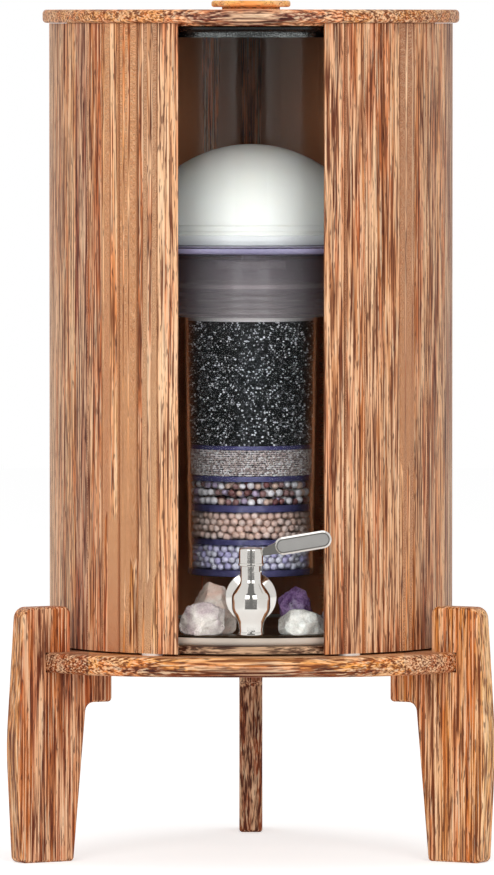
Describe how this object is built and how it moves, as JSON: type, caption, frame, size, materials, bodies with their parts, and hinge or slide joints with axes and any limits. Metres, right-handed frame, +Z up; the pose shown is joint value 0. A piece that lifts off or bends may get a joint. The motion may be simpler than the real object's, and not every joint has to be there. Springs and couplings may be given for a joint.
{
  "type": "gravity water filter with tap",
  "caption": "Gravity water filter: glass vessel with tap in a wooden stave casing on a three-legged stand, with ceramic dome and layered cartridge.",
  "frame": {"origin": "middle of the footprint box at floor level, under the feet", "axes": "+Z up, the tap and the slot face -Y, +X to the right seen from the front"},
  "size_m": [0.3666, 0.3952, 0.6468],
  "materials": {
    "stave_wood": "oiled acacia staves",
    "leg_wood": "oiled acacia",
    "shelf_wood": "oiled acacia, edge glued",
    "floor_wood": "oiled acacia",
    "lid_wood": "oiled acacia",
    "knob_wood": "oiled acacia",
    "pad_felt": "white felt",
    "vessel_glass": "clear glass",
    "clear_plastic": "clear",
    "blue_clear_plastic": "clear, blue tint",
    "blue_plastic": "deep blue",
    "white_plastic": "moulded",
    "gasket_rubber": "black",
    "silicone": "translucent white",
    "dome_ceramic": "unglazed white",
    "carbon_granules": "granules",
    "mineral_sand": "coarse grains",
    "mixed_beads": "beads",
    "beige_beads": "beads",
    "lavender_beads": "beads",
    "polished_steel": "polished stainless",
    "lever_steel": "satin face, bright edge",
    "rose_quartz": "rough quartz",
    "druzy_quartz": "small crystals",
    "clear_quartz": "rough quartz",
    "amethyst": "small crystals",
    "grey_agate": "rough stone"
  },
  "bodies": {
    "stand": {"stand_shelf": "shelf_wood", "leg_front_left": "leg_wood", "leg_front_right": "leg_wood", "leg_rear": "leg_wood"},
    "casing": {"casing_staves_1": "stave_wood", "casing_staves_2": "stave_wood", "casing_staves_3": "stave_wood", "casing_staves_4": "stave_wood", "casing_staves_5": "stave_wood", "casing_staves_6": "stave_wood", "casing_staves_7": "stave_wood", "casing_pads": "pad_felt", "casing_floor": "floor_wood"},
    "vessel": {"glass_vessel": "vessel_glass", "tap_body": "polished_steel", "tap_outer_seal": "silicone", "tap_inner_seal": "silicone", "tap_shank_nut": "polished_steel", "stone_amethyst": "amethyst", "stone_clear_quartz": "clear_quartz", "stone_druzy": "druzy_quartz", "stone_flat_shard": "rose_quartz", "stone_grey_agate": "grey_agate", "stone_rose_quartz": "rose_quartz"},
    "tap_handle": {"tap_valve_plug": "white_plastic", "tap_o_rings": "gasket_rubber", "tap_cap": "polished_steel", "tap_lever": "lever_steel"},
    "filter_unit": {"upper_tank": "clear_plastic", "rim_gasket": "gasket_rubber", "ceramic_dome": "dome_ceramic", "dome_base": "clear_plastic", "dome_washer": "silicone", "tank_washer": "silicone", "stem_nut": "white_plastic", "screw_collar": "clear_plastic", "collar_seal": "silicone", "cartridge_housing": "blue_clear_plastic", "cartridge_base": "blue_plastic", "top_felt": "pad_felt", "media_beige_beads": "beige_beads", "media_carbon": "carbon_granules", "media_lavender_beads": "lavender_beads", "media_mineral_sand": "mineral_sand", "media_mixed_beads": "mixed_beads", "screen_1": "blue_plastic", "screen_2": "blue_plastic", "screen_3": "blue_plastic", "screen_4": "blue_plastic"},
    "lid": {"lid": "lid_wood", "lid_knob": "knob_wood", "knob_screw": "polished_steel"}
  },
  "joints": [
    {"name": "casing_lift", "type": "slide", "parent": "stand", "child": "casing", "axis": [0, 0, 1], "range_m": [0, 0.06]},
    {"name": "vessel_lift", "type": "slide", "parent": "casing", "child": "vessel", "axis": [0, 0, 1], "range_m": [0, 0.48]},
    {"name": "filter_unit_lift", "type": "slide", "parent": "vessel", "child": "filter_unit", "axis": [0, 0, 1], "range_m": [0, 0.43]},
    {"name": "lid_lift", "type": "slide", "parent": "filter_unit", "child": "lid", "axis": [0, 0, 1], "range_m": [0, 0.12]},
    {"name": "tap_turn", "type": "hinge", "parent": "vessel", "child": "tap_handle", "pos_m": [0, -0.18334, 0.202], "axis": [0, 0, 1], "range_deg": [-90, 0]}
  ]
}
